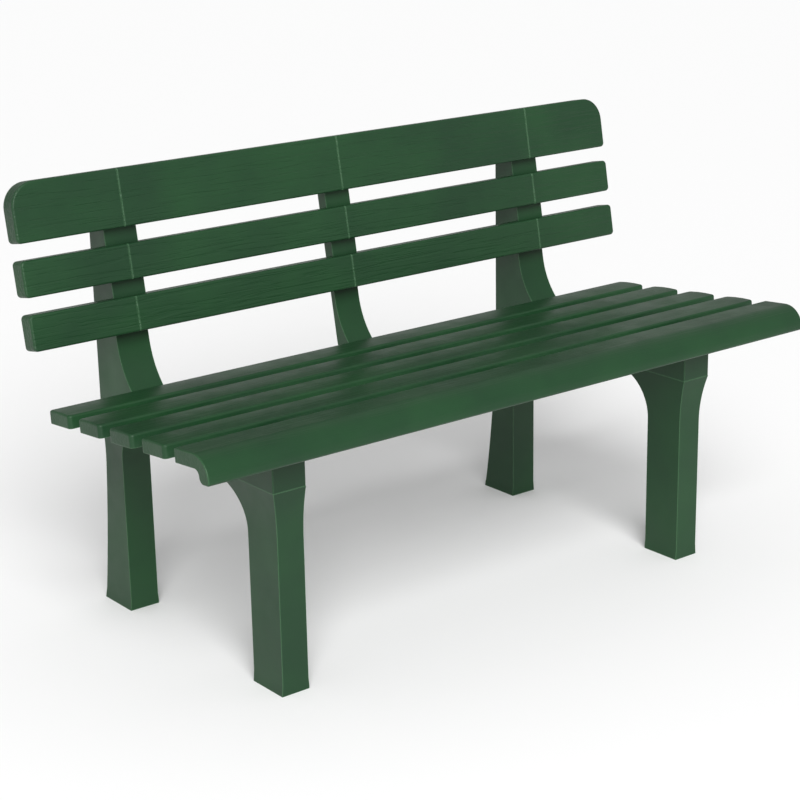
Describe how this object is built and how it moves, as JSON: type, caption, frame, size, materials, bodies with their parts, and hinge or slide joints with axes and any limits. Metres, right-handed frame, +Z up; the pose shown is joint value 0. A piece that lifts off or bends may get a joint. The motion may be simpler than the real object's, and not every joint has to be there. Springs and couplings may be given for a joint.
{
  "type": "garden bench",
  "caption": "Garden bench with a slatted seat that rolls over at the front, a leaning slatted back with rounded corners, and plug-in legs under boxed side supports.",
  "frame": {"origin": "centre of the footprint's bounding box, on the ground", "axes": "+X along the bench, towards its right-hand end as seen from in front; +Y towards the back; +Z up"},
  "size_m": [1.207, 0.5891, 0.7314],
  "materials": {
    "slats": "satin moulded polypropylene, dark green",
    "supports": "satin moulded polypropylene, dark green",
    "legs": "satin moulded polypropylene, dark green",
    "fasteners": "zinc plated steel"
  },
  "bodies": {
    "root": {"seat_slat_1": "slats", "seat_slat_2": "slats", "seat_slat_3": "slats", "seat_slat_4": "slats", "front_seat_slat": "slats", "lower_back_slat": "slats", "middle_back_slat": "slats", "top_back_slat": "slats", "left_bearer": "supports", "centre_bearer": "supports", "right_bearer": "supports", "left_front_leg": "legs", "left_rear_leg": "legs", "right_front_leg": "legs", "right_rear_leg": "legs", "seat_slat_screws": "fasteners", "back_slat_screws": "fasteners", "leg_bolts": "fasteners", "leg_bolt_washers": "fasteners", "leg_bolt_nuts": "fasteners"}
  },
  "joints": []
}
